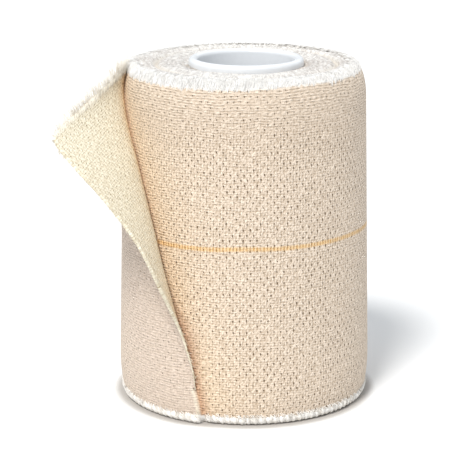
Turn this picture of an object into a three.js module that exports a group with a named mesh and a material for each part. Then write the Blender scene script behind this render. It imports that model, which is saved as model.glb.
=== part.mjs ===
// An elastic adhesive bandage, wound on a plastic core and standing on one end.
// The last turn comes round the back and the left side. Its cut end is still stuck down
// near the base, and above that it is peeled off towards the viewer, adhesive side showing.
// Millimetres, +Z up, the viewer on the -Y side.
import * as THREE from 'three';

// Driving dimensions
const CLOTH_WIDTH = 75; // a standard width, which stands as the roll's height
const ROLL_RADIUS = 27.2; // mean radius half way up
const TAPER = 0.023; // radius lost for each millimetre of height
const CLOTH = 1; // thickness of one layer
const GAP = 0.3; // kept between neighbouring solids
const TURN = CLOTH + GAP; // radius added by one turn
const CUT_END = -20.9; // where the cloth was cut, in degrees from the front

const CORE_RADIUS = 12.6;
const CORE_WALL = 2;
const CORE_FOOT = 0.4; // height of the core's lower lip above the base
const CORE_TOP = 75.5;

const WOUND_TOP = 74.6; // top of the wound cloth
const TOP_RIM = { across: 2.7, along: 7.3 }; // the rims are quarter ellipses
const BASE_RIM = { across: 1.9, along: 10 };
// Grooves between groups of turns on the top end
const GROOVES = [
  { radius: 16, depth: 0.35, width: 0.7 },
  { radius: 19.7, depth: 0.8, width: 0.7 },
  { radius: 22.6, depth: 0.35, width: 0.6 },
];

const FREE_TOP = 73; // cloth height of the peeled end's upper edge
const FREE_LOW = 12; // where the peeled end narrows to nothing
const CORNER = 2.5; // radius of the peeled corner
const ROOT_GAP = 0.75; // degrees from the step of the roll to the peeled end
const LEAVING_PULL = 0.35; // how strongly it still follows the roll where it leaves, of its length

const TUFT_PITCH = 1.49; // one tuft for each pair of wefts
const TUFT_STRIP = 0.5; // section of the strip that the tufts grow from
const TUFT_SLANT = 0.4; // how far each tip leans along the edge

// How the last turn is peeled. For each height on the cloth: the angle at which it leaves
// the roll, in degrees from the front, and where its cut end lies, from the roll's axis.
const PEEL = [
  { height: 12, angle: -23.1, x: -10.6, y: -26.8, z: 12.1 },
  { height: 20.5, angle: -29.3, x: -12.9, y: -28.1, z: 20.3 },
  { height: 32.1, angle: -38.3, x: -17.3, y: -29.5, z: 31.2 },
  { height: 43.7, angle: -48.1, x: -22.8, y: -30.2, z: 41.6 },
  { height: 55.4, angle: -61, x: -29.5, y: -29.9, z: 50.7 },
  { height: 64.1, angle: -74, x: -35.1, y: -29.3, z: 57 },
  { height: 69.9, angle: -82.5, x: -38.7, y: -27.9, z: 61.1 },
  { height: 74, angle: -86.5, x: -40.6, y: -26.3, z: 64.2 },
];
const STUCK_HEIGHT = 8.5; // below this the last turn is still stuck down

const radians = THREE.MathUtils.degToRad;
const lerp = THREE.MathUtils.lerp;

// One column of the peel table at any height, on a smooth curve through its rows
function peelAt(column, height) {
  const last = PEEL.length - 1;
  let row = 0;
  while (row < last - 1 && height > PEEL[row + 1].height) {
    row += 1;
  }
  const slope = (i) => {
    const below = PEEL[Math.max(i - 1, 0)];
    const above = PEEL[Math.min(i + 1, last)];
    return (above[column] - below[column]) / (above.height - below.height);
  };
  const step = PEEL[row + 1].height - PEEL[row].height;
  const t = (height - PEEL[row].height) / step;
  const t2 = t * t;
  const t3 = t2 * t;
  return (
    (2 * t3 - 3 * t2 + 1) * PEEL[row][column] +
    (t3 - 2 * t2 + t) * step * slope(row) +
    (3 * t2 - 2 * t3) * PEEL[row + 1][column] +
    (t3 - t2) * step * slope(row + 1)
  );
}

// The angle of the step in the roll: the stuck cut end near the base, the peel line above it
function stepAngle(height) {
  if (height <= STUCK_HEIGHT) {
    return CUT_END;
  }
  if (height < FREE_LOW) {
    return lerp(CUT_END, PEEL[0].angle, (height - STUCK_HEIGHT) / (FREE_LOW - STUCK_HEIGHT));
  }
  return peelAt('angle', Math.min(height, FREE_TOP));
}

// The outside of the cloth is one spiral, so its radius grows by a turn in each full circle
function outsideRadius(angle, height) {
  const mean = ROLL_RADIUS - TAPER * (height - CLOTH_WIDTH / 2);
  return mean + TURN * ((angle - CUT_END) / 360 - 0.5);
}

function place(radius, angle, height) {
  return new THREE.Vector3(radius * Math.sin(radians(angle)), -radius * Math.cos(radians(angle)), height);
}

// A point that stands off the outside of the roll, on its rims as well as on its wall
function outside(angle, height, off = 0) {
  const top = (height - (WOUND_TOP - TOP_RIM.along)) / TOP_RIM.along;
  const base = (BASE_RIM.along - height) / BASE_RIM.along;
  const rim = top > 0 ? TOP_RIM : BASE_RIM;
  const share = Math.min(Math.max(top, base, 0), 1);
  const up = top > 0 ? 1 : -1;
  const inward = 1 - Math.sqrt(1 - share * share);
  const normal = new THREE.Vector2((1 - inward) / rim.across, (up * share) / rim.along);
  normal.setLength(off);
  const radius = outsideRadius(angle, height) - rim.across * inward;
  return place(radius + normal.x, angle, height + normal.y);
}

// Geometry from shared vertices, turned right side out
function closed(points, faces) {
  let volume = 0;
  for (const [a, b, c] of faces) {
    volume += points[a].dot(points[b].clone().cross(points[c]));
  }
  const index = volume < 0 ? faces.flatMap(([a, b, c]) => [a, c, b]) : faces.flat();
  const geometry = new THREE.BufferGeometry().setFromPoints(points);
  geometry.setIndex(index);
  geometry.computeVertexNormals();
  return geometry;
}

const quad = (a, b, c, d) => [
  [a, b, c],
  [a, c, d],
];

// A solid ring: every row goes round the axis, and the rows close round the section
function ringSolid(rows, columns, point) {
  const points = [];
  const faces = [];
  for (let row = 0; row < rows; row += 1) {
    for (let column = 0; column < columns; column += 1) {
      const next = (column + 1) % columns;
      const above = ((row + 1) % rows) * columns;
      points.push(point(row, column));
      faces.push(...quad(row * columns + column, row * columns + next, above + next, above + column));
    }
  }
  return closed(points, faces);
}

// A sheet of even thickness about its middle surface middle(i, j)
function sheetSolid(rows, columns, thickness, middle) {
  const width = columns + 1;
  const side = (rows + 1) * width;
  const front = [];
  const back = [];
  for (let i = 0; i <= rows; i += 1) {
    for (let j = 0; j <= columns; j += 1) {
      const along = middle(Math.min(i + 1, rows), j).sub(middle(Math.max(i - 1, 0), j));
      const across = middle(i, Math.min(j + 1, columns)).sub(middle(i, Math.max(j - 1, 0)));
      const normal = along.cross(across).setLength(thickness / 2);
      front.push(middle(i, j).add(normal));
      back.push(middle(i, j).sub(normal));
    }
  }
  const faces = [];
  for (let i = 0; i < rows; i += 1) {
    for (let j = 0; j < columns; j += 1) {
      const a = i * width + j;
      faces.push(...quad(a, a + 1, a + width + 1, a + width));
      faces.push(...quad(side + a, side + a + width, side + a + width + 1, side + a + 1));
    }
  }
  for (let i = 0; i < rows; i += 1) {
    const a = i * width;
    const b = a + columns;
    faces.push(...quad(a, a + width, side + a + width, side + a));
    faces.push(...quad(b, side + b, side + b + width, b + width));
  }
  for (let j = 0; j < columns; j += 1) {
    const b = rows * width + j;
    faces.push(...quad(j, side + j, side + j + 1, j + 1));
    faces.push(...quad(b, b + 1, side + b + 1, side + b));
  }
  return closed([...front, ...back], faces);
}

// A narrow strip with a row of tufts on it. section(i) gives the strip's four corners at
// station i, the last two of them on the side that the tufts grow from, and tip(i) the
// point of the tuft between stations i and i + 1.
function tuftedStrip(tufts, section, tip) {
  const points = [];
  const faces = [];
  for (let i = 0; i <= tufts; i += 1) {
    points.push(...section(i));
  }
  for (let i = 0; i < tufts; i += 1) {
    const a = 4 * i;
    const b = a + 4;
    for (let side = 0; side < 3; side += 1) {
      faces.push(...quad(a + side, b + side, b + side + 1, a + side + 1));
    }
    const apex = points.push(tip(i)) - 1;
    const root = [a + 3, b + 3, b, a];
    root.forEach((corner, k) => faces.push([corner, root[(k + 1) % 4], apex]));
  }
  const end = 4 * tufts;
  faces.push(...quad(0, 1, 2, 3), ...quad(end + 3, end + 2, end + 1, end));
  return closed(points, faces);
}

// The core is a moulded tube with a fully rounded lip at each end
function coreGeometry() {
  const lip = CORE_WALL / 2;
  const lipSteps = 6;
  const middle = CORE_RADIUS - lip;
  const profile = [];
  for (const [height, start] of [[CORE_FOOT + lip, Math.PI], [CORE_TOP - lip, 0]]) {
    for (let i = 0; i <= lipSteps; i += 1) {
      const turn = start + (Math.PI * i) / lipSteps;
      profile.push(new THREE.Vector2(middle + lip * Math.cos(turn), height + lip * Math.sin(turn)));
    }
  }
  profile.push(profile[0].clone());
  return new THREE.LatheGeometry(profile, 72).rotateX(Math.PI / 2);
}

// The roll's section, from the bottom of its bore up the bore, out over the top end, down
// the outside and back under the base. Each entry gives a radius and height for an angle,
// and the angle at which its row starts, so that the rows' ends meet in the step.
function rollSection() {
  const bore = CORE_RADIUS + GAP;
  const boreRows = 10;
  const faceRows = 11;
  const wallRows = 13;
  const rimRows = 5;
  const wallTop = WOUND_TOP - TOP_RIM.along;
  const topStep = stepAngle(WOUND_TOP);
  const section = [];
  for (let i = 0; i <= boreRows; i += 1) {
    const share = i / boreRows;
    const start = lerp(CUT_END, topStep, share);
    section.push({ start, point: (angle) => place(bore, angle, WOUND_TOP * share) });
  }
  for (let i = 1; i < faceRows; i += 1) {
    const share = i / faceRows;
    const sunk = (radius) =>
      GROOVES.reduce((sum, g) => sum + g.depth * Math.exp(-(((radius - g.radius) / g.width) ** 2)), 0);
    const point = (angle) => {
      const rim = outsideRadius(angle, WOUND_TOP) - TOP_RIM.across;
      const radius = lerp(bore, rim, share);
      return place(radius, angle, WOUND_TOP - sunk(lerp(bore, ROLL_RADIUS - TOP_RIM.across, share)));
    };
    section.push({ start: topStep, point });
  }
  for (let i = 0; i <= rimRows; i += 1) {
    const height = wallTop + TOP_RIM.along * Math.cos((Math.PI / 2) * (i / rimRows));
    section.push({ start: stepAngle(height), point: (angle) => outside(angle, height) });
  }
  for (let i = 1; i < wallRows; i += 1) {
    const height = lerp(wallTop, BASE_RIM.along, i / wallRows);
    section.push({ start: stepAngle(height), point: (angle) => outside(angle, height) });
  }
  for (let i = 0; i <= rimRows; i += 1) {
    const height = BASE_RIM.along * (1 - Math.sin((Math.PI / 2) * (i / rimRows)));
    section.push({ start: CUT_END, point: (angle) => outside(angle, height) });
  }
  return section;
}

function rollGeometry() {
  const section = rollSection();
  const columns = 72;
  const stepWidth = 1.2;
  return ringSolid(section.length, columns, (row, column) => {
    const { start, point } = section[row];
    return point(start + ((360 - stepWidth) * column) / (columns - 1));
  });
}

// The peeled end. Each warp thread leaves the roll along its surface and curls away to its
// place on the cut edge. share runs from 0 at the roll to 1 at the cut edge.
function freeEnd(height, share) {
  const angle = stepAngle(height) + ROOT_GAP;
  const root = outside(angle, height, GAP + CLOTH / 2);
  const cut = new THREE.Vector3(...['x', 'y', 'z'].map((column) => peelAt(column, height)));
  const chord = cut.clone().sub(root);
  const length = chord.length();
  const corner = Math.max(height - (FREE_TOP - CORNER), 0);
  const trimmed = CORNER - Math.sqrt(CORNER ** 2 - corner ** 2);
  const t = share * (1 - trimmed / length);
  const t2 = t * t;
  const t3 = t2 * t;
  const leaving = new THREE.Vector3(Math.cos(radians(angle)), Math.sin(radians(angle)), 0);
  return root
    .multiplyScalar(2 * t3 - 3 * t2 + 1)
    .addScaledVector(leaving, LEAVING_PULL * length * (t3 - 2 * t2 + t))
    .addScaledVector(cut, 3 * t2 - 2 * t3)
    .addScaledVector(chord, t3 - t2);
}

function freeEndGeometry() {
  const rows = 24;
  const columns = 12;
  return sheetSolid(rows, columns, CLOTH, (i, j) => {
    const height = lerp(FREE_TOP, FREE_LOW, (i / rows) ** 1.4);
    return freeEnd(height, j / columns);
  });
}

// The tufts of the peeled end stand on in line with the cloth, past its upper edge
function freeFringeGeometry() {
  const first = 0.06; // shares of the upper edge
  const last = 0.93;
  const reach = 2.3; // tips above the cloth's edge
  const lean = 0.5; // share of the upper edge's slope that the tufts lean by
  const nearby = 0.02;
  const below = 4;
  const edgeLength = freeEnd(FREE_TOP, first).distanceTo(freeEnd(FREE_TOP, last));
  const tufts = Math.round(edgeLength / TUFT_PITCH);
  const at = (share, rise, off) => {
    const edge = freeEnd(FREE_TOP, share);
    const along = freeEnd(FREE_TOP, share + nearby).sub(freeEnd(FREE_TOP, share - nearby)).normalize();
    const up = edge.clone().sub(freeEnd(FREE_TOP - below, share));
    up.addScaledVector(along, -lean * up.dot(along)).normalize();
    const out = along.cross(up).normalize();
    return edge.addScaledVector(up, rise).addScaledVector(out, off);
  };
  const half = TUFT_STRIP / 2;
  const station = (i) => lerp(first, last, i / tufts);
  return tuftedStrip(
    tufts,
    (i) => [
      at(station(i), GAP + TUFT_STRIP, half),
      at(station(i), GAP, half),
      at(station(i), GAP, -half),
      at(station(i), GAP + TUFT_STRIP, -half),
    ],
    (i) => at(station(i + 0.5), reach, 0),
  );
}

// The tufted edge of the outside turn at one end of the roll, from the step right round
function selvedgeGeometry({ low, high, tip, start, end }) {
  const pitch = TUFT_PITCH / ROLL_RADIUS / radians(1);
  const tufts = Math.round((end - start) / pitch);
  const station = (i) => lerp(start, end, i / tufts);
  const near = GAP;
  const far = GAP + TUFT_STRIP;
  return tuftedStrip(
    tufts,
    (i) => [
      outside(station(i), high, near),
      outside(station(i), low, near),
      outside(station(i), low, far),
      outside(station(i), high, far),
    ],
    (i) => tip(station(i + 0.5 + TUFT_SLANT / TUFT_PITCH)),
  );
}

const plastic = new THREE.MeshStandardMaterial({ color: '#eef0f2', roughness: 0.28, metalness: 0 });
const cloth = new THREE.MeshStandardMaterial({ color: '#e3cfb1', roughness: 0.95, metalness: 0 });
const adhesive = new THREE.MeshStandardMaterial({ color: '#efdcb4', roughness: 0.8, metalness: 0 });
const tuft = new THREE.MeshStandardMaterial({ color: '#e9e6e0', roughness: 1, metalness: 0 });

function mesh(name, geometry, material) {
  const piece = new THREE.Mesh(geometry, material);
  piece.name = name;
  return piece;
}

const topStart = stepAngle(WOUND_TOP);
const bandage = new THREE.Group();
bandage.add(
  mesh('core', coreGeometry(), plastic),
  mesh('bandage_roll', rollGeometry(), cloth),
  mesh('free_end', freeEndGeometry(), adhesive),
  mesh('free_end_fringe', freeFringeGeometry(), tuft),
  mesh(
    'selvedge_top',
    selvedgeGeometry({
      low: 72.6,
      high: 73.1,
      tip: (angle) => place(outsideRadius(angle, WOUND_TOP) - 2.4, angle, WOUND_TOP + 0.4),
      start: topStart + 14,
      end: topStart + 358,
    }),
    tuft,
  ),
  mesh(
    'selvedge_bottom',
    selvedgeGeometry({
      low: 2.1,
      high: 1.6,
      tip: (angle) => place(outsideRadius(angle, 0) - BASE_RIM.across + 0.7, angle, 0.05),
      start: CUT_END + 1.5,
      end: CUT_END + 358,
    }),
    tuft,
  ),
);

// The origin is the middle of the whole part's footprint, on the surface that it stands on
const extent = new THREE.Box3().setFromObject(bandage);
const middle = extent.getCenter(new THREE.Vector3());
bandage.position.set(-middle.x, -middle.y, 0);
bandage.updateMatrixWorld(true);

export default bandage;
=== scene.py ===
"""An elastic adhesive bandage roll, standing on one end with its free end peeled back."""
import math

import bpy
import numpy as np
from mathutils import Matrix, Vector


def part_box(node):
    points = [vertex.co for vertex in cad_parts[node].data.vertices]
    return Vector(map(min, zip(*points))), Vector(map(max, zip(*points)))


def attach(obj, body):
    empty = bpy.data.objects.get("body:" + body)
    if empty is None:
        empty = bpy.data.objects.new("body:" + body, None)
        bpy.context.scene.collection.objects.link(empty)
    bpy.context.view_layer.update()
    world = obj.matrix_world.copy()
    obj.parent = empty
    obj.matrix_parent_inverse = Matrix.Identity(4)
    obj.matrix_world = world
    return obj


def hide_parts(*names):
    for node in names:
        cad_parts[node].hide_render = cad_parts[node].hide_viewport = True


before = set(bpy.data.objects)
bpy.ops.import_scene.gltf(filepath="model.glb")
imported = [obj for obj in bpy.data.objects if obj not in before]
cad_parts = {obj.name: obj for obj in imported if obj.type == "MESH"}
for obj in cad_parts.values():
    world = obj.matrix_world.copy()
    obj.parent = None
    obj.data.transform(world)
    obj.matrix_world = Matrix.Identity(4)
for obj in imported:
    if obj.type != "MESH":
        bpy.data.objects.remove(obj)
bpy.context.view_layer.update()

# The view: from the front and a little above, from about an arm's length, with the roll's
# axis slightly to the right of the middle of the picture.
core_low, core_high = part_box("core")
AXIS = np.array([(core_low.x + core_high.x) / 2, (core_low.y + core_high.y) / 2, 0.0])
view_distance = 0.42
view_rise = math.radians(14.71)
aim = AXIS + [-0.00418, 0, 0.03712]
from_aim = [0, -view_distance * math.cos(view_rise), view_distance * math.sin(view_rise)]
camera = bpy.data.objects.new("camera", bpy.data.cameras.new("camera"))
camera.data.lens = 149.4
camera.data.sensor_width = 36
camera.location = aim + from_aim
camera.rotation_euler = (math.pi / 2 - view_rise, 0, 0)
bpy.context.collection.objects.link(camera)
bpy.context.scene.camera = camera
bpy.context.scene.view_settings.view_transform = "Standard"

# The wound bandage: about twenty turns of woven cotton with elastic warps, wound so that
# the outside is one spiral. The last turn comes round the back and the left to its cut
# end, which is stuck down near the base and peeled off above that.
CLOTH_WIDTH = 0.075
ROLL_RADIUS = 0.0272  # half way up
TAPER = 0.023  # radius lost for each unit of height
TURN = 0.0013  # radius added by one turn
CUT_END = -20.9  # degrees from the front, as are all the angles
LAST_COLUMN = 358.8  # degrees from the step in the outside round to the step again
FREE_LOW = 0.008  # the free end is off the roll from this height up to its upper edge
FREE_TOP = 0.073
WOUND_TOP = 0.0746
BORE = 0.0129  # radius of the hole that the core stands in
GROOVE_RADIUS = 0.0197  # of the deepest groove between groups of turns
TOP_RIM = (0.0027, 0.0073)  # a quarter ellipse, across and along
BASE_RIM = (0.0019, 0.010)
WEFT_PAIR = 0.00147  # from one pore to the next round the roll
WARP_PITCH = 0.00117  # from one row of pores to the next
THREAD_LINE = 0.0389  # height of the ochre warp
FRAYED = 0.0008  # how far the last elastic warps wander to either side of their line

# For each height on the cloth, in millimetres: the angle at which the free end leaves the
# roll, and where its cut end lies from the roll's axis
PEEL = np.array([
    [8, -23.3, -10.95, -25.75, 8.02],
    [12, -25.8, -11.5, -25.6, 12.1],
    [20.5, -32.6, -13.9, -25.4, 20.4],
    [32.1, -42.0, -18.1, -29.1, 31.2],
    [43.7, -50.6, -22.9, -30.2, 41.6],
    [55.4, -62.2, -29.5, -29.9, 50.7],
    [64.1, -75, -35.1, -29.3, 57],
    [69.9, -83, -38.7, -27.9, 61.1],
    [74, -87, -40.6, -26.3, 64.2],
])


def peel_at(column, height):
    """One column of the table at any heights: a cubic between its rows, with the slope at
    each row taken between its two neighbours."""
    rows, values = PEEL[:, 0], PEEL[:, column]
    low = np.clip(np.arange(len(rows)) - 1, 0, None)
    high = np.clip(np.arange(len(rows)) + 1, None, len(rows) - 1)
    slopes = (values[high] - values[low]) / (rows[high] - rows[low])
    mm = np.asarray(height, float) * 1000
    i = np.clip(np.searchsorted(rows, mm, side="right") - 1, 0, len(rows) - 2)
    step = rows[i + 1] - rows[i]
    t = (mm - rows[i]) / step
    return (
        (2 * t**3 - 3 * t**2 + 1) * values[i]
        + (t**3 - 2 * t**2 + t) * step * slopes[i]
        + (3 * t**2 - 2 * t**3) * values[i + 1]
        + (t**3 - t**2) * step * slopes[i + 1]
    )


def step_angle(height):
    """Angle of the step in the outside: the stuck cut end near the base, which bends with
    the square of the height, and the peel line above that."""
    height = np.asarray(height, float)
    share = np.clip(height / FREE_LOW, 0, 1)
    peeled = peel_at(1, np.clip(height, FREE_LOW, FREE_TOP))
    return np.where(height < FREE_LOW, CUT_END + (PEEL[0, 1] - CUT_END) * share**2, peeled)


def outside_radius(angle, height):
    """The mean radius, less the taper, plus one turn's thickness for each full circle and a
    low swelling at the upper left, where the free end pulls at the turns."""
    mean = ROLL_RADIUS - TAPER * (height - CLOTH_WIDTH / 2)
    pulled = np.exp((np.cos(np.radians(angle + 86)) - 1) / 0.18)
    swelling = 0.0011 * pulled * np.clip((height - 0.036) / 0.034, 0, 1)
    return mean + swelling + TURN * ((angle - CUT_END) / 360 - 0.5)


def polar(radius, angle, height):
    """Points about the roll's axis: the radius times the sine of the angle to the right,
    times its cosine to the front, and the height."""
    a = np.radians(angle)
    return np.stack([radius * np.sin(a), -radius * np.cos(a), height + 0 * radius], -1) + AXIS


def unit(vectors):
    """Each vector divided by its length."""
    return vectors / np.linalg.norm(vectors, axis=-1, keepdims=True)


def profile():
    """The section of the outside from its foot to the bore, as distance along the cloth,
    inset from the wall, height and the normal's two parts: a quarter ellipse under the
    wall, the straight wall, a quarter ellipse over it and the flat top end."""
    turn = np.linspace(0, np.pi / 2, 30)
    foot_inset = BASE_RIM[0] * (1 - np.sin(turn))
    foot_height = BASE_RIM[1] * (1 - np.cos(turn))
    wall_height = np.linspace(BASE_RIM[1], WOUND_TOP - TOP_RIM[1], 60)[1:-1]
    top_inset = TOP_RIM[0] * (1 - np.cos(turn))
    top_height = WOUND_TOP - TOP_RIM[1] * (1 - np.sin(turn))
    end_inset = np.linspace(TOP_RIM[0], ROLL_RADIUS - BORE, 60)[1:]
    inset = np.concatenate([foot_inset, 0 * wall_height, top_inset, end_inset])
    height = np.concatenate([foot_height, wall_height, top_height, 0 * end_inset + WOUND_TOP])
    moves = unit(np.stack([np.gradient(-inset), np.gradient(height)], -1))
    steps = np.hypot(np.diff(inset), np.diff(height))
    along = np.concatenate([[0], np.cumsum(steps)])
    along += BASE_RIM[1] - along[len(turn) - 1]  # on the wall it equals the height
    return along, inset, height, moves[:, 1], -moves[:, 0]


PROFILE = profile()


def on_roll(angle, along, off=0.0):
    """Points on the roll from the angle, the distance along the section and the distance
    off the surface, taken along the section's normal."""
    inset, height, out, up = (np.interp(along, PROFILE[0], row) for row in PROFILE[1:])
    radius = outside_radius(angle, height) - inset + off * out
    return polar(radius, angle, height + off * up)


def grid_faces(rows, columns, close_rows=False, close_columns=False):
    """Four corners for each cell of a grid whose points run along its rows."""
    row = np.arange(rows if close_rows else rows - 1)[:, None]
    column = np.arange(columns if close_columns else columns - 1)[None, :]
    next_row, next_column = (row + 1) % rows, (column + 1) % columns
    corners = [
        row * columns + column,
        row * columns + next_column,
        next_row * columns + next_column,
        next_row * columns + column,
    ]
    return np.stack(corners, -1).reshape(-1, 4)


def new_piece(name, points, faces, materials, cloth=None, values=None):
    """An object from arrays: points, groups of faces with equal numbers of corners, a UV
    map in metres of cloth for each corner, and named numbers for each point."""
    mesh = bpy.data.meshes.new(name)
    mesh.vertices.add(len(points))
    mesh.vertices.foreach_set("co", points.astype(np.float32).ravel())
    corners = np.concatenate([group.ravel() for group in faces])
    sizes = np.concatenate([np.full(len(group), group.shape[1]) for group in faces])
    mesh.loops.add(len(corners))
    mesh.loops.foreach_set("vertex_index", corners.astype(np.int32))
    mesh.polygons.add(len(sizes))
    mesh.polygons.foreach_set("loop_start", (np.cumsum(sizes) - sizes).astype(np.int32))
    mesh.update(calc_edges=True)
    if cloth is not None:
        layer = mesh.uv_layers.new(name="cloth")
        layer.data.foreach_set("uv", cloth.astype(np.float32).ravel())
    for key, numbers in (values or {}).items():
        attribute = mesh.attributes.new(key, "FLOAT", "POINT")
        attribute.data.foreach_set("value", numbers.astype(np.float32).ravel())
    for material in materials:
        mesh.materials.append(material)
    piece = bpy.data.objects.new(name, mesh)
    bpy.context.collection.objects.link(piece)
    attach(piece, "root")
    return piece


def wire(tree, value, socket):
    """Sets a socket to a number or colour, or links another node's output to it."""
    if isinstance(value, bpy.types.NodeSocket):
        tree.links.new(value, socket)
    else:
        socket.default_value = value


def sums(tree, operation, *values):
    """The result of one Math node."""
    node = tree.nodes.new("ShaderNodeMath")
    node.operation = operation
    for value, socket in zip(values, node.inputs):
        wire(tree, value, socket)
    return node.outputs[0]


def times(tree, first, second):
    """The product of two numbers."""
    return sums(tree, "MULTIPLY", first, second)


def place_sums(tree, operation, *values):
    """The result of one Vector Math node."""
    node = tree.nodes.new("ShaderNodeVectorMath")
    node.operation = operation
    for value, socket in zip(values, node.inputs):
        wire(tree, value, socket)
    return node.outputs["Value" if operation == "LENGTH" else "Vector"]


def scaled(tree, place, across, along, high=1.0):
    """A place times one factor for each direction."""
    return place_sums(tree, "MULTIPLY", place, (across, along, high))


def separated(tree, place):
    """The three parts of a place."""
    node = tree.nodes.new("ShaderNodeSeparateXYZ")
    wire(tree, place, node.inputs[0])
    return node.outputs


def noise(tree, place, scale=1.0, detail=2.0, kind="Fac"):
    """Smooth random values about one half; for Color three of them."""
    node = tree.nodes.new("ShaderNodeTexNoise")
    wire(tree, place, node.inputs["Vector"])
    node.inputs["Scale"].default_value = scale
    node.inputs["Detail"].default_value = detail
    return node.outputs[kind]


def ramp(tree, value, low, high, out_low=0.0, out_high=1.0):
    """Turns a range of values into another one, smoothly at both ends."""
    node = tree.nodes.new("ShaderNodeMapRange")
    node.interpolation_type = "SMOOTHSTEP"
    for key, number in zip(("Value", "From Min", "From Max", "To Min", "To Max"),
                           (value, low, high, out_low, out_high)):
        wire(tree, number, node.inputs[key])
    return node.outputs["Result"]


def blend(tree, share, first, second, kind="MIX"):
    """A colour between two, or for MULTIPLY the first one times the second, to a share."""
    node = tree.nodes.new("ShaderNodeMix")
    node.data_type = "RGBA"
    node.blend_type = kind
    for value, socket in ((share, 0), (first, 6), (second, 7)):
        wire(tree, value, node.inputs[socket])
    return node.outputs[2]


def multiplied(tree, share, colour, factor):
    """A colour, multiplied by another to some share."""
    return blend(tree, share, colour, factor, "MULTIPLY")


def new_group(name, inputs, outputs):
    """An empty node group with its sockets."""
    group = bpy.data.node_groups.new(name, "ShaderNodeTree")
    for way, sockets in (("INPUT", inputs), ("OUTPUT", outputs)):
        for key, kind in sockets:
            group.interface.new_socket(name=key, in_out=way, socket_type="NodeSocket" + kind)
    given = group.nodes.new("NodeGroupInput").outputs
    made = group.nodes.new("NodeGroupOutput").inputs
    return group, given, made


def weave_group():
    """The open weave. Warps and wefts are rounded ridges, the absolute sines of the place;
    the product of their sines says which of the two lies on top. Pores sit in staggered
    rows between the threads, where the product of a cosine across and one along is near
    one, and knots of slack thread where it is near minus one. Where the cloth is drawn
    tight the warps stand out over the wefts."""
    group, given, made = new_group(
        "open_weave",
        [("Place", "Vector"), ("Thread", "Color"), ("Groove", "Color"), ("Pore", "Color"),
         ("Openness", "Float"), ("Drawn", "Float")],
        [("Colour", "Color"), ("Height", "Float")],
    )
    place = given["Place"]
    drift = place_sums(group, "SUBTRACT", noise(group, place, 160, 3, "Color"), (0.5, 0.5, 0.5))
    pulled = place_sums(group, "MULTIPLY_ADD", drift, (0.0009, 0.0013, 0), place)
    parts = separated(group, pulled)
    across = times(group, parts[0], 2 * math.pi / WEFT_PAIR)
    along = times(group, parts[1], math.pi / WARP_PITCH)
    product = times(group, sums(group, "COSINE", across), sums(group, "COSINE", along))
    warp = sums(group, "SINE", times(group, along, 2.0))
    weft = sums(group, "SINE", sums(group, "MULTIPLY_ADD", warp, 0.5, across))
    slack = sums(group, "MULTIPLY_ADD", given["Drawn"], -0.4, 0.5)
    over = sums(group, "MULTIPLY_ADD", times(group, weft, warp), 0.5, slack)
    weft_share = sums(group, "MULTIPLY_ADD", over, 0.7, 0.3)
    warp_share = sums(group, "MULTIPLY_ADD", over, -0.8, 0.9)
    weft_high = times(group, sums(group, "ABSOLUTE", weft), weft_share)
    warp_high = times(group, sums(group, "ABSOLUTE", warp), warp_share)
    knot = times(group, sums(group, "MAXIMUM", times(group, product, -1.0), 0.0), 0.75)
    threads = sums(group, "MAXIMUM", sums(group, "MAXIMUM", weft_high, warp_high), knot)
    up_fibre = noise(group, scaled(group, place, 3200, 700))
    level_fibre = noise(group, scaled(group, place, 700, 3200))
    level_share = sums(group, "SUBTRACT", 1.0, over)
    fibre = sums(group, "ADD", times(group, up_fibre, over), times(group, level_fibre, level_share))
    fibre_high = times(group, ramp(group, fibre, 0.3, 0.7), 0.45)
    relief = sums(group, "MULTIPLY_ADD", threads, 0.55, fibre_high)
    patch = noise(group, place, 90)
    each = noise(group, place, 520, 1)
    openness = times(group, ramp(group, patch, 0.35, 0.65, 0.65, 1.1), given["Openness"])
    openness = times(group, openness, ramp(group, each, 0.35, 0.60, 0.35, 1.25))
    lean = times(group, weft, sums(group, "SINE", along))
    slanted = sums(group, "MULTIPLY_ADD", lean, 0.14, product)
    pore_edge = sums(group, "MULTIPLY_ADD", openness, -0.25, 1.02)
    pore = ramp(group, slanted, pore_edge, sums(group, "ADD", pore_edge, 0.14))
    face = blend(group, ramp(group, relief, 0.10, 0.98), given["Groove"], given["Thread"])
    wire(group, blend(group, times(group, pore, 0.88), face, given["Pore"]), made["Colour"])
    wire(group, sums(group, "MULTIPLY_ADD", pore, -0.7, relief), made["Height"])
    return group


WEAVE = weave_group()


def fleece_group():
    """Brushed cotton ends: fine streaks along the threads in two shades, over soft lumps
    about the size of one tuft."""
    group, given, made = new_group(
        "cotton_ends",
        [("Place", "Vector"), ("Light", "Color"), ("Dark", "Color")],
        [("Colour", "Color"), ("Height", "Float")],
    )
    streak = noise(group, scaled(group, given["Place"], 3600, 700), 1, 3)
    lump = noise(group, scaled(group, given["Place"], 900, 500))
    both = sums(group, "MULTIPLY_ADD", streak, 0.6, times(group, lump, 0.4))
    shade = ramp(group, both, 0.36, 0.6)
    wire(group, blend(group, shade, given["Dark"], given["Light"]), made["Colour"])
    wire(group, both, made["Height"])
    return group


FLEECE = fleece_group()


def use_group(tree, group, **values):
    """Places a node group in a material, with its values."""
    node = tree.nodes.new("ShaderNodeGroup")
    node.node_tree = group
    for key, value in values.items():
        wire(tree, value, node.inputs[key])
    return node.outputs


def new_material(name, roughness, sheen=0.0):
    """A material with an opaque Principled shader, and its node tree."""
    material = bpy.data.materials.new(name)
    material.use_nodes = True
    shader = material.node_tree.nodes["Principled BSDF"]
    shader.inputs["Roughness"].default_value = roughness
    shader.inputs["Specular IOR Level"].default_value = 0.2
    shader.inputs["Sheen Weight"].default_value = sheen
    return material, material.node_tree, shader


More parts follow.
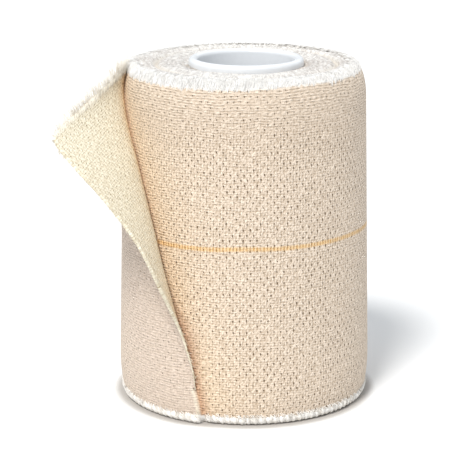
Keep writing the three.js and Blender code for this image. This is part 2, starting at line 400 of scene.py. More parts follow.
def emboss(tree, shader, height, depth):
    """Feeds a height to the shader's normal; the depth is in metres."""
    bump = tree.nodes.new("ShaderNodeBump")
    bump.inputs["Distance"].default_value = depth
    wire(tree, height, bump.inputs["Height"])
    wire(tree, bump.outputs[0], shader.inputs["Normal"])


def cloth_place(tree):
    """The cloth's own UV map, in metres."""
    node = tree.nodes.new("ShaderNodeUVMap")
    node.uv_map = "cloth"
    return node.outputs[0]


def read_value(tree, name):
    """A piece's own number for each point."""
    node = tree.nodes.new("ShaderNodeAttribute")
    node.attribute_name = name
    return node.outputs["Fac"]


def ragged_edge(tree, place, low, high):
    """A mask of the cotton ends past the last elastic warp: the distance past the edge,
    plus streaks along the weft as deep as the edge is frayed."""
    streaks = noise(tree, scaled(tree, place, 1360, 300))
    past = sums(tree, "ADD", read_value(tree, "past_edge"), -FRAYED)
    return ramp(tree, sums(tree, "MULTIPLY_ADD", streaks, 2 * FRAYED, past), low, high)


def cloth_material(name, thread, groove, pore):
    """The bandage's outer face: the open weave, one ochre warp round the middle, and white
    cotton ends past the elastic warps at both edges. The attribute peeled says where the
    adhesive of the peeled turn has filled the pores, and where the colour is warmed and
    lightened as painted light from the free end beside it; stained says where a brown band
    beside the stuck end is adhesive stain and painted shadow under its lifted edge; rubbed
    says where the last turn has been handled and has a closer weave, and where it is
    darkened as painted shade; cut where its cut end shows the threads' white cores, sunk
    where the top end has a groove that is darkened as painted shade, and past_edge how far
    a point is past the last elastic warp, in metres."""
    material, tree, shader = new_material(name, 0.95, 0.15)
    place = cloth_place(tree)
    around, height = separated(tree, place)[:2]
    peeled = read_value(tree, "peeled")
    rubbed_and_shaded = read_value(tree, "rubbed_and_shaded")
    # The weave: closer where it is peeled or rubbed, and towards the top
    upper = ramp(tree, height, 0.060, 0.070, 0.0, 0.15)
    shallow = sums(tree, "MAXIMUM", upper, times(tree, rubbed_and_shaded, 0.35))
    worn = times(tree, sums(tree, "MAXIMUM", peeled, rubbed_and_shaded), 0.7)
    openness = sums(tree, "MULTIPLY_ADD", peeled, -0.5, 1.0)
    openness = sums(tree, "MULTIPLY_ADD", rubbed_and_shaded, -0.5, openness)
    openness = times(tree, openness, ramp(tree, height, 0.052, 0.071, 1.0, 0.62))
    weave = use_group(
        tree, WEAVE, Place=place, Thread=thread, Pore=pore, Openness=openness,
        Groove=blend(tree, shallow, groove, thread),
        Drawn=sums(tree, "MAXIMUM", ramp(tree, height, 0.060, 0.071), worn))
    # The ochre warp: it dips a little towards the peel line and shows between the wefts
    dip = ramp(tree, around, -0.020, 0.004, 0.00045, 0.0)
    line = sums(tree, "ADD", sums(tree, "ADD", height, -THREAD_LINE), dip)
    line = sums(tree, "MULTIPLY_ADD", noise(tree, place, 120, 1), -0.0006, line)
    stripe = ramp(tree, sums(tree, "ABSOLUTE", line), 0.00022, 0.00072, 1.0, 0.0)
    uneven = ramp(tree, noise(tree, scaled(tree, place, 2200, 900)), 0.3, 0.7, 0.6, 0.95)
    wefts = sums(tree, "COSINE", times(tree, around, 4 * math.pi / WEFT_PAIR))
    ochre = blend(tree, ramp(tree, wefts, -0.6, 0.9), (0.84, 0.59, 0.30, 1), (0.54, 0.29, 0.09, 1))
    colour = blend(tree, times(tree, stripe, uneven), weave["Colour"], ochre)
    # Warmer and lighter near the peel line as painted light from the free end, darker over the end of
    # the last turn as painted shade, a little darker towards the top of the wall, and browner beside
    # the stuck end as adhesive stain with painted shadow under its lifted edge.
    for share, factor in (
        (times(tree, peeled, 0.75), (1.14, 1.02, 0.82, 1)),
        (rubbed_and_shaded, (0.85, 0.83, 0.84, 1)),
        (ramp(tree, height, 0.052, 0.068), (0.93, 0.92, 0.91, 1)),
        (read_value(tree, "stain_and_shadow"), (0.72, 0.58, 0.53, 1)),
    ):
        colour = multiplied(tree, share, colour, factor)
    colour = blend(tree, read_value(tree, "cut"), colour, (0.88, 0.79, 0.64, 1))
    # The white cotton ends past both edges
    ends = use_group(tree, FLEECE, Place=place, Light=(0.82, 0.80, 0.77, 1), Dark=(0.74, 0.71, 0.67, 1))
    white = ragged_edge(tree, place, -0.0002, 0.0005)
    # Painted shade: the cloth's cotton ends are darkened in the deep groove of the top end.
    sunk = times(tree, read_value(tree, "sunk"), 0.8)
    cotton = multiplied(tree, sunk, ends["Colour"], (0.74, 0.68, 0.60, 1))
    wire(tree, blend(tree, white, colour, cotton), shader.inputs["Base Color"])
    mixed = tree.nodes.new("ShaderNodeMix")
    for value, socket in ((white, 0), (weave["Height"], 2), (ends["Height"], 3)):
        wire(tree, value, mixed.inputs[socket])
    emboss(tree, shader, mixed.outputs[0], 0.00028)
    return material


outer_face = cloth_material(
    "bandage_outer_face", (0.92, 0.785, 0.65, 1), (0.43, 0.325, 0.225, 1), (0.17, 0.105, 0.055, 1))


def top_dip(radius, angle):
    """How far the top end lies below its highest level: low ridges along the turns, three
    grooves between groups of turns, a slope at the core and slow waves."""
    ridges = 0.5 - 0.5 * np.cos(2 * np.pi * ((radius - BORE) / 0.00105 - angle / 360))
    dip = 0.00022 * ridges
    grooves = ((0.016, 0.0003, 0.0006), (GROOVE_RADIUS, 0.0010, 0.0007), (0.0226, 0.0003, 0.0005))
    for groove, depth, width in grooves:
        dip = dip + depth * np.exp(-((radius - groove) / width) ** 2)
    dip += 0.0007 * np.exp(-((radius - BORE) / 0.0017) ** 2)
    dip += 0.00010 + 0.00010 * np.sin(np.radians(angle) * 5 + radius * 900)
    return dip * np.clip((0.0247 - radius) / 0.002, 0, 1)


def top_edge(angle):
    """Where the beige cloth ends at the top, along the section: a little lower at the
    front and left than at the right."""
    return FREE_TOP - 0.0002 - 0.0004 * np.tanh((8 - angle) / 14) * (angle < 180)


def pressed_depth(height):
    """How far the last turn is pressed down where its end is stuck."""
    return 0.0005 * np.clip((0.022 - height) / 0.008, 0, 1)


def roll_marks(wall_height, turns, top_radius, cloth):
    """The numbers that the outer face's material reads, for each point. Off the wall they
    are zero, but for rubbed, past_edge and the groove that is sunk in the top end."""
    past = np.radians(turns) * ROLL_RADIUS  # along the cloth, from the peel line
    left = np.radians(LAST_COLUMN - turns) * ROLL_RADIUS  # and up to the cut end
    height = wall_height[:, None]
    low = np.clip((0.029 - height) / 0.010, 0, 1)
    # The stained band widens where the cut end stands off the roll: painted shadow under the lifted
    # edge, on top of the adhesive stain.
    lifted = np.exp(-(((height - 0.020) / 0.007) ** 2))
    stuck = np.clip((FREE_LOW + 0.001 - height) / 0.001, 0, 1)
    stain_and_shadow_width = 0.0004 + 0.0013 * low + 0.0018 * lifted
    around = np.degrees(cloth[..., 0] / ROLL_RADIUS)
    marks = {key: np.zeros(cloth.shape[:2]) for key in ("peeled", "stain_and_shadow", "rubbed_and_shaded", "cut", "sunk")}
    wall, top = slice(len(height)), slice(len(height), len(height) + len(top_radius))
    # peeled: pores filled by adhesive and painted warm light from the free end, fading from the peel
    # line; stained: adhesive stain and painted shadow beside the stuck end; rubbed: closer weave and
    # painted shade on the end of the last turn.
    marks["peeled"][wall] = np.exp(-past / 0.007)
    marks["stain_and_shadow"][wall] = (0.55 + 0.45 * low) * np.exp(-((past / stain_and_shadow_width) ** 2))
    marks["rubbed_and_shaded"][:] = np.clip((turns - 280) / 55, 0, 1)
    marks["cut"][wall] = 0.75 * stuck * np.exp(-((left / 0.0003) ** 2))
    marks["sunk"][top] = np.exp(-(((top_radius - GROOVE_RADIUS) / 0.0006) ** 2))
    marks["past_edge"] = np.maximum(cloth[..., 1] - top_edge(around), 0.0018 - cloth[:, :1, 1])
    return marks


def wound_roll():
    """A ring of section rows: the wall from the foot over the rim, the top end, the bore
    and the base. Each row runs once round from the step to the step, so the columns are
    sheared along the peel line, and the last column drops to the first."""
    wall_top = WOUND_TOP - TOP_RIM[1]
    rim_end = PROFILE[0][PROFILE[2].argmax()]
    along = np.concatenate([
        np.linspace(PROFILE[0][0], BASE_RIM[1], 15)[1:],
        np.linspace(BASE_RIM[1], wall_top, 70)[1:],
        np.linspace(wall_top, rim_end, 16)[1:],
    ])[:, None]
    turns = np.concatenate([
        [0, 0.15], np.linspace(0.4, LAST_COLUMN - 0.4, 420), [LAST_COLUMN - 0.15, LAST_COLUMN]])
    height = np.interp(along, PROFILE[0], PROFILE[2])
    angle = step_angle(height) + turns
    pressed = pressed_depth(height) * np.clip((turns - 340) / 18, 0, 1) ** 2
    wall = on_roll(angle, along + 0 * angle, -pressed)
    # The top end: rows at equal shares of the way from the rim to the bore
    shares = np.linspace(1, 0, 44)[1:, None]
    top_angle = step_angle(WOUND_TOP) + turns + 0 * shares
    rim = outside_radius(top_angle, WOUND_TOP) - TOP_RIM[0]
    radius = BORE + (rim - BORE) * shares
    top = polar(radius, top_angle, WOUND_TOP - top_dip(radius, top_angle))
    # The bore and the flat base close the ring
    inner_height = np.linspace(WOUND_TOP, 0, 12)[1:, None]
    inner_start = np.interp(inner_height, [0, WOUND_TOP], [CUT_END, step_angle(WOUND_TOP)])
    inner_angle = inner_start + turns
    inner = polar(BORE + 0 * inner_angle, inner_angle, inner_height)
    base_shares = np.linspace(0, 1, 7)[1:, None]
    base_angle = CUT_END + turns + 0 * base_shares
    base_radius = BORE + (outside_radius(base_angle, 0) - BASE_RIM[0] - BORE) * base_shares
    base = polar(base_radius, base_angle, 0 * base_radius)
    # The cloth's own map: metres round the roll, and metres up it and on over the rim
    around = np.concatenate([angle, top_angle, inner_angle, base_angle])
    up = np.concatenate([
        along + 0 * angle, along[-1] + rim - radius, 0.09 + 0 * inner_angle, -0.002 + 0 * base_angle])
    cloth = np.stack([np.radians(around) * ROLL_RADIUS, up], -1)
    points = np.concatenate([wall, top, inner, base])
    rows, columns = points.shape[:2]
    faces = grid_faces(rows, columns, close_rows=True, close_columns=True)
    corner_cloth = cloth.reshape(-1, 2)[faces]
    last = (faces[:, 0] % columns) == columns - 1
    cut_face = [0.0006, 0]  # the cloth that the drop from the last column to the first shows
    corner_cloth[last, 1] = corner_cloth[last, 0] + cut_face
    corner_cloth[last, 2] = corner_cloth[last, 3] + cut_face
    return new_piece("wound_cloth", points.reshape(-1, 3), [faces], [outer_face],
                     corner_cloth.reshape(-1, 2), roll_marks(height[:, 0], turns, radius, cloth))


wound_cloth = wound_roll()
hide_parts("bandage_roll")

# The cotton ends of the weft at the top edge: with each turn's edge trimmed, they stand
# out as a soft white pile over the whole top end, and the outside turn's lie over the rim.
def cotton_material(name, light, dark, soft=0.0, rings=False):
    """White cotton whose shade varies softly from tuft to tuft; light goes through the
    softest a little. The top end also has painted shade: beige-grey rings in the groove
    and at the foot of the core, and both sides a little darker and warmer."""
    material, tree, shader = new_material(name, 0.9, 0.2)
    shader.inputs["Subsurface Weight"].default_value = soft
    shader.inputs["Subsurface Radius"].default_value = (1.0, 1.0, 1.0)
    shader.inputs["Subsurface Scale"].default_value = 0.0006
    place = tree.nodes.new("ShaderNodeTexCoord").outputs["Object"]
    shade = ramp(tree, noise(tree, place, 420, 3), 0.35, 0.62)
    colour = blend(tree, shade, dark, light)
    if rings:
        # Painted shade: beige-grey rings darken the cotton over the deep groove and at the foot of the
        # core.
        centred = place_sums(tree, "SUBTRACT", place, AXIS)
        radius = place_sums(tree, "LENGTH", scaled(tree, centred, 1, 1, 0))
        from_groove = sums(tree, "ABSOLUTE", sums(tree, "SUBTRACT", radius, GROOVE_RADIUS))
        ring = sums(tree, "MAXIMUM", ramp(tree, from_groove, 0.0003, 0.0010, 0.8, 0.0),
                    ramp(tree, radius, BORE, BORE + 0.0016, 0.9, 0.0))
        colour = multiplied(tree, ring, colour, (0.88, 0.82, 0.74, 1))
        # Painted shade: the top end is a little darker and warmer towards both sides.
        aside = sums(tree, "ABSOLUTE", sums(tree, "ADD", separated(tree, centred)[0], 0.003))
        colour = multiplied(tree, ramp(tree, aside, 0.004, 0.018), colour, (0.95, 0.92, 0.90, 1))
    wire(tree, colour, shader.inputs["Base Color"])
    return material


# Painted shade: the top end's cotton is much darker than the same cotton on the rim, so that the flat
# top reads less lit.
top_shade = cotton_material(
    "top_cotton", (0.70, 0.675, 0.652, 1), (0.685, 0.655, 0.628, 1), 0.3, rings=True)
rim_shade = cotton_material("rim_cotton", (0.96, 0.94, 0.915, 1), (0.89, 0.865, 0.83, 1), 0.3)


def tapered(random, thinnest, thickest, count, taper):
    """Half the thickness of each fibre, times the taper at each of its rings."""
    return random.uniform(thinnest, thickest, count)[:, None] * np.array(taper)


def strands(name, centres, widths, material, sides=3):
    """Closed tubes along lines: each ring stands across its line, at the line's point plus
    its width times a cosine and a sine in two directions square to the line."""
    count, rings, _ = centres.shape
    along = unit(np.gradient(centres, axis=1))
    least = np.abs(along.mean(1)).argmin(1)
    side = unit(np.cross(along, np.eye(3)[least][:, None, :]))
    other = np.cross(along, side)
    turn = 2 * np.pi * np.arange(sides) / sides
    ring = side[:, :, None] * np.cos(turn)[:, None] + other[:, :, None] * np.sin(turn)[:, None]
    points = centres[:, :, None] + ring * widths[:, :, None, None]
    first = np.arange(count)[:, None, None] * rings * sides
    walls = (grid_faces(rings, sides, close_columns=True)[None] + first).reshape(-1, 4)
    ends = np.stack([np.arange(sides)[::-1], np.arange(sides) + (rings - 1) * sides])
    caps = (ends[None] + first).reshape(-1, sides)
    return new_piece(name, points.reshape(-1, 3), [walls, caps], [material])


def top_pile():
    """Each fibre starts at a random place on the top end and leans along the end, mostly
    towards or away from the axis, while it rises a little."""
    random = np.random.default_rng(11)
    count = 7600
    at_rim, at_core = 0.0757, PROFILE[0][-1] - 0.0004  # along the section
    along = at_rim + (at_core - at_rim) * random.random(count) ** 1.15
    angle = random.uniform(-86, 274, count)
    reach = random.uniform(-1, 1, count)
    reach = np.sign(reach) * (0.0004 + 0.0010 * np.abs(reach))
    inset, height = (np.interp(along, PROFILE[0], row) for row in PROFILE[1:3])
    # Beside the deep groove they lean away from it, and none starts in it
    past_groove = outside_radius(angle, height) - inset - GROOVE_RADIUS
    beside = np.abs(past_groove) < 0.0016
    reach = np.where(beside, -np.sign(past_groove) * np.abs(reach), reach)
    kept = np.abs(past_groove) > 0.0004
    side = random.normal(0, 0.9, count)
    rise = random.uniform(0.00004, 0.0002, count)
    t = np.linspace(0, 1, 4)
    line_along = along[:, None] + reach[:, None] * t
    line_angle = angle[:, None] + side[:, None] * t**1.5
    centres = on_roll(line_angle, line_along, -0.00012 + rise[:, None] * np.sin(t * 2.0))
    radius = np.linalg.norm((centres - AXIS)[..., :2], axis=-1)
    centres[..., 2] -= 0.9 * top_dip(radius, line_angle)
    widths = tapered(random, 0.00005, 0.00009, count, [1.0, 1.0, 0.8, 0.3])
    return strands("top_pile", centres[kept], widths[kept], top_shade)


def rim_pile():
    """Fibres from the edge of the beige cloth, over the rim and on towards the axis, in
    bundles, two to each pair of wefts."""
    random = np.random.default_rng(12)
    bundles, each = 232, 22
    fibres = (bundles, each)
    place = np.arange(bundles)[:, None] + 0.5 + random.normal(0, 0.25, fibres)
    angle = -86.0 + 358.0 / bundles * place
    start = top_edge(angle) + random.normal(0, 0.0003, (bundles, 1))
    start = start + random.uniform(-0.0003, 0.0018, fibres)
    length = random.uniform(0.0011, 0.0024, fibres)
    lean = random.normal(0, 0.7, fibres) + random.normal(0.3, 0.5, (bundles, 1))
    rise = random.uniform(0.00005, 0.00038, fibres)
    t = np.linspace(0, 1, 5)
    line_along = (start[..., None] + length[..., None] * t).reshape(-1, 5)
    line_angle = (angle[..., None] + lean[..., None] * t).reshape(-1, 5)
    off = (-0.0001 + rise[..., None] * np.sin(2.2 * t)).reshape(-1, 5)
    widths = tapered(random, 0.00005, 0.0001, bundles * each, [0.8, 1.0, 1.0, 0.7, 0.25])
    return strands("rim_pile", on_roll(line_angle, line_along, off), widths, rim_shade)


rim_cotton = rim_pile()
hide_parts("selvedge_top")
top_cotton = top_pile()

# The lower selvedge: here the weft ends are cut a little longer, as twisted white tufts,
# a full and a thin one to each pair of wefts, which lean the same way round the foot.
tuft_cotton = cotton_material("tuft_cotton", (0.97, 0.945, 0.905, 1), (0.88, 0.84, 0.78, 1))


def foot_radius(angle, height):
    """The roll's radius at its rounded foot, less the quarter ellipse's inset."""
    inset = BASE_RIM[0] * (1 - np.sqrt(1 - (1 - height / BASE_RIM[1]) ** 2))
    return outside_radius(angle, height) - inset


def foot_tufts():
    """Each tuft follows the foot's section from the cloth's edge down to just above the
    floor, leaning along the edge; its width swells and then rounds off. Every second one
    is thinner and lies a little deeper."""
    random = np.random.default_rng(13)
    count = 228
    t = np.linspace(0, 1, 9)
    pitch = 357.0 / count
    behind = (np.arange(count) % 2)[:, None]
    angle = CUT_END + 1.2 + pitch * (np.arange(count) + 0.5 + random.normal(0, 0.07, count))
    angle = angle[:, None] + pitch * 0.84 * t
    high = 0.0022 + random.normal(0, 0.00012, count)
    low = 0.00029 + random.normal(0, 0.00001, count)
    height = high[:, None] + (low - high)[:, None] * t
    deeper = 0.00025 + 0.00012 * behind - 0.0001 * np.sin(np.pi * t)
    swell = np.sqrt(np.clip(1 - (2 * t - 1.15) ** 2, 0.02, 1))
    widths = (0.00058 + random.normal(0, 0.00003, count))[:, None] * (1 - 0.15 * behind) * swell
    centres = polar(foot_radius(angle, height) - deeper, angle, height)
    return strands("foot_tufts", centres, widths, tuft_cotton, 8)


def foot_fibres():
    """Loose fibres among the tufts, in the same direction."""
    random = np.random.default_rng(14)
    count = 2600
    t = np.linspace(0, 1, 4)
    angle = CUT_END + random.uniform(0.8, 358.5, count)
    angle = angle[:, None] + random.normal(0.9, 0.9, count)[:, None] * t
    high = random.uniform(0.0010, 0.0026, count)
    height = high[:, None] - random.uniform(0.0006, 0.0011, count)[:, None] * t
    height = np.maximum(height, 0.0002)
    off = random.uniform(0.0001, 0.00045, count)[:, None] * np.sin(2.4 * t)
    centres = polar(foot_radius(angle, height) + off, angle, height)
    widths = tapered(random, 0.00004, 0.00007, count, [1.0, 1.0, 0.8, 0.3])
    return strands("foot_fibres", centres, widths, tuft_cotton)


foot_row = foot_tufts()
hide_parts("selvedge_bottom")
foot_loose = foot_fibres()

# The free end: the last turn of the bandage, peeled off down to near the base, so that it
# shows its inner side, which is spread with a cream adhesive that fills the weave.
def free_thickness(height):
    """The cloth with its spread, pressed thinner towards the stuck end."""
    return 0.0007 * (0.2 + 0.8 * np.clip((height - FREE_LOW) / 0.016, 0, 1))


def root_line(height, past):
    """Where the free end leaves the roll: its outer face carries on the last turn's."""
    off = TURN - free_thickness(height) / 2 - 0.00003 - pressed_depth(height)
    return on_roll(step_angle(height) + past, height, off)


def free_end_at(height, share):
    """A warp thread leaves the roll along its surface and curls away: a cubic from the
    peel line to its place on the cut edge, shortened at the rounded upper corner."""
    height, share = np.broadcast_arrays(np.asarray(height, float), np.asarray(share, float))
    past = 0.75 * np.clip((height - 0.0065) / 0.010, 0, 1)
    angle = step_angle(height) + past
    root = root_line(height, past)
    cut = np.stack([peel_at(k, height) / 1000 for k in (2, 3, 4)], -1) + AXIS
    chord = cut - root
    length = np.linalg.norm(chord, axis=-1)
    rounding = 0.0015
    corner = np.clip(height - (FREE_TOP - rounding), 0, rounding)
    trimmed = rounding - np.sqrt(rounding**2 - corner**2)
    t = (share * (1 - trimmed / length))[..., None]
    a = np.radians(angle)
    reach = np.interp(height, [0.026, 0.046, 0.066], [0.75, 0.38, 0.2])
    leaving = np.stack([np.cos(a), np.sin(a), 0 * a], -1) * (reach * length)[..., None]
    return (
        root * (2 * t**3 - 3 * t**2 + 1)
        + leaving * (t**3 - 2 * t**2 + t)
        + cut * (3 * t**2 - 2 * t**3)
        + chord * (t**3 - t**2)
    )


def adhesive_material():
    """The adhesive side: the same weave seen through a cream spread that lies thinner on
    the knots and closes the pores."""
    material, tree, shader = new_material("bandage_adhesive_side", 0.62)
    place = cloth_place(tree)
    weave = use_group(
        tree, WEAVE, Place=scaled(tree, place, 0.9, 1.0), Openness=0.6,
        Thread=(0.985, 0.925, 0.765, 1), Groove=(0.61, 0.525, 0.37, 1), Pore=(0.50, 0.39, 0.23, 1))
    # Painted shade: darker and browner in the fold beside the roll and towards the stuck end.
    colour = multiplied(tree, read_value(tree, "fold"), weave["Colour"], (0.94, 0.73, 0.53, 1))
    bare = ragged_edge(tree, place, -0.0010, 0.0004)
    colour = blend(tree, bare, colour, (0.86, 0.80, 0.68, 1))
    wire(tree, colour, shader.inputs["Base Color"])
    emboss(tree, shader, weave["Height"], 0.0002)
    return material


adhesive_face = adhesive_material()
fray_cotton = cotton_material("fray_thread", (0.86, 0.79, 0.65, 1), (0.58, 0.48, 0.34, 1))


def free_end_surfaces(share):
    """For a grid of heights and shares of the way to the cut edge: the middle surface, the
    step of half a thickness from it to the adhesive side, the adhesive face and the
    cloth's own map. The face lies that step off the middle, and close to the peel line it
    also fills the gap to the roll, by the square of what is left of 3 mm. One column more
    lies before the peel line, seated in the last turn."""
    height = (FREE_LOW + (FREE_TOP - FREE_LOW) * np.linspace(1, 0, 90) ** 1.3)[:, None]
    middle = np.concatenate([root_line(height, -1.6), free_end_at(height, share)], 1)
    thickness = free_thickness(height)
    normal = unit(np.cross(np.gradient(middle, axis=1), np.gradient(middle, axis=0)))
    offset = normal * thickness[..., None] / 2
    steps = np.linalg.norm(np.diff(middle, axis=1, prepend=middle[:, :1]), axis=2)
    from_root = np.cumsum(steps, axis=1)
    root_arc = np.radians(step_angle(height) + LAST_COLUMN - 0.4) * ROLL_RADIUS
    cloth = np.stack([root_arc + from_root, height + 0 * from_root], -1)
    gap = (TURN - thickness - 0.00004) * np.clip((height - 0.035) / 0.015, 0, 1)
    filled = gap * np.clip(1 - from_root / 0.003, 0, 1) ** 2
    return middle, offset, middle + offset * (1 + 2 * filled / thickness)[..., None], cloth


def free_end_piece():
    """Two grids half a thickness to either side of the middle surface, joined round their
    edge by a rounded row. The adhesive side has painted shade: darker and browner in the
    fold beside the roll, and darker all over towards the stuck end."""
    columns = 46
    middle, offset, inner_face, cloth = free_end_surfaces(np.linspace(0, 1, columns - 1) ** 0.85)
    rows = len(middle)
    side = rows * columns
    # The two faces, and the points round their edge, in order
    middle, offset, cloth = middle.reshape(-1, 3), offset.reshape(-1, 3), cloth.reshape(-1, 2)
    front = grid_faces(rows, columns)
    back = front[:, ::-1] + side
    ring = np.concatenate([
        np.arange(columns - 1),
        np.arange(rows - 1) * columns + columns - 1,
        side - 1 - np.arange(columns - 1),
        (rows - 1 - np.arange(rows - 1)) * columns,
    ])
    # The rounded row stands out by 0.7 of half the thickness
    edge = middle[ring]
    outward = unit(np.cross(np.roll(edge, -1, 0) - np.roll(edge, 1, 0), offset[ring]))
    edge_points = edge + outward * 0.7 * np.linalg.norm(offset[ring], axis=1, keepdims=True)
    points = np.concatenate([inner_face.reshape(-1, 3), middle - offset, edge_points])
    here = 2 * side + np.arange(len(ring))
    after, next_ring = np.roll(here, -1), np.roll(ring, -1)
    first_rim = np.stack([ring, here, after, next_ring], -1)
    second_rim = np.stack([here, side + ring, side + next_ring, after], -1)
    faces = np.concatenate([front, back, first_rim, second_rim])
    point_cloth = np.concatenate([cloth, cloth, cloth[ring]])
    across = np.tile(np.linspace(0, 1, columns) ** 0.85, rows)
    # Painted shade: fold is the share darkened beside the roll, low_fold the share darkened towards the
    # stuck end.
    low_fold = np.clip((0.036 - cloth[:, 1]) / 0.014, 0, 1) * np.clip((1 - across) / 0.3, 0, 1)
    fold = np.maximum(np.clip(1 - across / 0.30, 0, 1) ** 1.6, 0.6 * low_fold)
    marks = {
        "past_edge": point_cloth[:, 1] - FREE_TOP + 0.0004,
        "fold": np.concatenate([fold, fold, np.zeros(len(ring))]),
        # The free end is the last turn's end, so its outer face gets the full painted shade and closer
        # weave of rubbed.
        "rubbed_and_shaded": np.ones(len(points)),
    }
    piece = new_piece("free_end_cloth", points, [faces], [adhesive_face, outer_face],
                      point_cloth[faces.ravel()], marks)
    slots = np.zeros(len(faces), np.int32)
    slots[len(front):len(front) + len(back)] = 1
    piece.data.polygons.foreach_set("material_index", slots)
    return piece


free_end = free_end_piece()
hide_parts("free_end")

# Its upper edge has the same cotton ends as the roll's, and its cut edge is a scissor cut,
# from which short bits of weft and warp stand out.
fringe_cotton = cotton_material("fringe_cotton", (0.96, 0.91, 0.82, 1), (0.72, 0.65, 0.54, 1))


def free_fringe():
    """Bundles of fibres that go on past the upper edge in line with the cloth and fan out
    a little."""
    random = np.random.default_rng(15)
    bundles, each = 46, 19
    place = np.arange(bundles)[:, None] + 0.5 + random.normal(0, 0.3, (bundles, each))
    share = np.clip(0.01 + 0.97 * place / bundles, 0.0, 0.99).ravel()
    top = FREE_TOP - 0.0002 - 0.0010 * np.clip((share - 0.93) / 0.06, 0, 1) ** 2
    edge = free_end_at(top, share)
    along = unit(free_end_at(top, share + 0.02) - free_end_at(top, share - 0.02))
    up = unit(edge - free_end_at(top - 0.004, share))
    up = unit(up - along * (0.5 * (up * along).sum(1))[:, None])
    out = np.cross(along, up)
    count = len(share)
    one = (count, 1)
    length = (0.0013 + 0.0027 * random.random(count) ** 1.5) * (1.2 - 0.2 * share)
    fan = random.normal(0, 0.22, one) * along + random.normal(0, 0.2, one) * out
    fan += along * (0.5 * np.clip((share - 0.9) / 0.1, 0, 1))[:, None]
    start = edge - up * random.uniform(0.0002, 0.0010, one)
    start = start + out * random.uniform(-0.00045, 0.00045, one)
    t = np.linspace(0, 1, 5)[None, :, None]
    bend = random.normal(0, 0.12, one) * along + random.normal(0, 0.12, one) * out
    line = (up + fan)[:, None] * t + bend[:, None] * t**2
    centres = start[:, None] + length[:, None, None] * line
    widths = tapered(random, 0.00002, 0.00005, count, [1.0, 1.0, 0.9, 0.7, 0.25])
    return strands("free_end_fringe_cotton", centres, widths, fringe_cotton)


fringe = free_fringe()
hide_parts("free_end_fringe")


def cut_frays():
    """Short threads out of the cut edge, nearly in line with the cloth."""
    random = np.random.default_rng(16)
    count = 420
    one = (count, 1)
    height = random.uniform(FREE_LOW + 0.001, FREE_TOP - 0.0006, count)
    edge = free_end_at(height, 1.0)
    on = unit(edge - free_end_at(height, 0.96))
    along = unit(free_end_at(height + 0.0005, 1.0) - free_end_at(height - 0.0005, 1.0))
    out = np.cross(on, along)
    lean, lift = random.normal(0, 0.7, one), random.normal(0, 0.35, one)
    direction = unit(on + along * lean + out * lift)
    length = random.uniform(0.0004, 0.0011, count) * (1 + 0.9 * (height > FREE_TOP - 0.005))
    t = np.linspace(0, 1, 4)[None, :, None]
    start = edge - on * 0.0002 + out * random.uniform(-0.0003, 0.0003, one)
    curl = along * random.normal(0, 0.4, one)
    line = direction[:, None] * t + curl[:, None] * t**2
    centres = start[:, None] + length[:, None, None] * line
    widths = tapered(random, 0.00003, 0.00006, count, [1.0, 1.0, 0.8, 0.3])
    return strands("cut_edge_frays", centres, widths, fray_cotton)


frays = cut_frays()

# The core: a smooth moulded tube of white plastic with a fully rounded lip, a little
# longer than the cloth is wide, so that its lip shows above the pile.
core_radius = 0.0126
core_wall = 0.002


def core_tube():
    """A closed profile of two half circles joined by straight walls, turned about the
    axis."""
    lip = core_wall / 2
    middle = core_radius - lip
    low, high = core_low.z + lip, core_high.z - lip
    turn = np.linspace(0, np.pi, 18)
    share = np.linspace(0, 1, 22)[1:-1]
    radius = np.concatenate([
        middle + lip * np.cos(turn),
        middle - lip + 0 * share,
        middle - lip * np.cos(turn),
        middle + lip + 0 * share,
    ])[:, None]
    height = np.concatenate([
        high + lip * np.sin(turn),
        high + (low - high) * share,
        low - lip * np.sin(turn),
        low + (high - low) * share,
    ])[:, None]
    angle = np.linspace(0, 360, 160, endpoint=False)
    faces = grid_faces(len(radius), len(angle), close_rows=True, close_columns=True)
    return polar(radius + 0 * angle, angle, height).reshape(-1, 3), faces


def plastic_material():
    """Smooth white plastic with the faint waviness of a moulding."""
    material, tree, shader = new_material("core_plastic", 0.22)
    shader.inputs["Specular IOR Level"].default_value = 0.5
    place = tree.nodes.new("ShaderNodeTexCoord").outputs["Object"]
    cloudy = ramp(tree, noise(tree, place, 90), 0.3, 0.7)
    colour = blend(tree, cloudy, (0.735, 0.75, 0.77, 1), (0.765, 0.78, 0.80, 1))
    wire(tree, colour, shader.inputs["Base Color"])
    smeared = ramp(tree, noise(tree, place, 700, 3), 0.3, 0.7, 0.18, 0.27)
    wire(tree, smeared, shader.inputs["Roughness"])
    emboss(tree, shader, noise(tree, place, 260, 1), 0.00002)
    return material


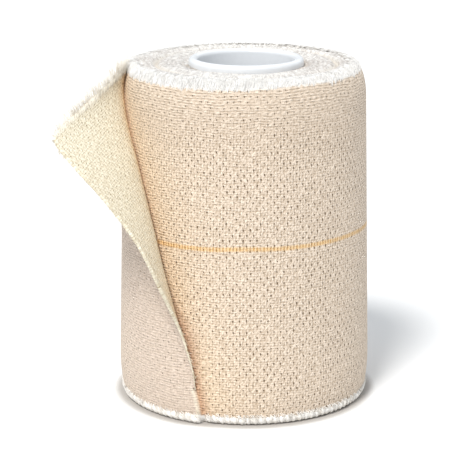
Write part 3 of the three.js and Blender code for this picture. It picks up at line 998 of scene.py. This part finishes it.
core_points, core_faces = core_tube()
core = new_piece("core_tube", core_points, [core_faces], [plastic_material()])
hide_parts("core")

# A pale floor, darkened close round the roll by a painted contact shadow, one large soft
# light from the front and a little to the left, a weak one from behind and the right,
# and an even pale sky.
floor_mesh = bpy.data.meshes.new("floor")
floor_mesh.from_pydata([(-4, -4, 0), (4, -4, 0), (4, 4, 0), (-4, 4, 0)], [], [(0, 1, 2, 3)])
floor = bpy.data.objects.new("floor", floor_mesh)
bpy.context.collection.objects.link(floor)
floor_material, floor_tree, floor_shader = new_material("floor", 0.9)
floor_shader.inputs["Specular IOR Level"].default_value = 0.1
# Painted shadow: the floor turns warm grey where ambient occlusion finds the roll close by, standing in
# for the contact shadow.
closeness = floor_tree.nodes.new("ShaderNodeAmbientOcclusion")
closeness.inputs["Distance"].default_value = 0.0048
open_share = ramp(floor_tree, closeness.outputs["AO"], 0.54, 0.83)
floor_colour = blend(floor_tree, open_share, (0.47, 0.44, 0.41, 1), (0.88, 0.88, 0.88, 1))
wire(floor_tree, floor_colour, floor_shader.inputs["Base Color"])
floor_mesh.materials.append(floor_material)


def soft_light(name, energy, spread, colour, tilt, turn):
    """A wide sun; its spread, tilt and turn are in degrees."""
    light = bpy.data.objects.new(name, bpy.data.lights.new(name, "SUN"))
    light.data.energy = energy
    light.data.angle = math.radians(spread)
    light.data.color = colour
    light.rotation_euler = (math.radians(tilt), 0, math.radians(turn))
    bpy.context.collection.objects.link(light)


soft_light("soft_key", 2.85, 16, (1.0, 0.985, 0.96), 35, -26)
soft_light("soft_fill", 0.3, 50, (1.0, 1.0, 1.0), 52, 150)

world = bpy.data.worlds.new("pale_sky")
world.use_nodes = True
bpy.context.scene.world = world
sky = world.node_tree.nodes["Background"]
path = world.node_tree.nodes.new("ShaderNodeLightPath")
camera_share = path.outputs["Is Camera Ray"]
seen = blend(world.node_tree, camera_share, (0.61, 0.645, 0.68, 1), (1.0, 1.0, 1.0, 1))
wire(world.node_tree, seen, sky.inputs["Color"])
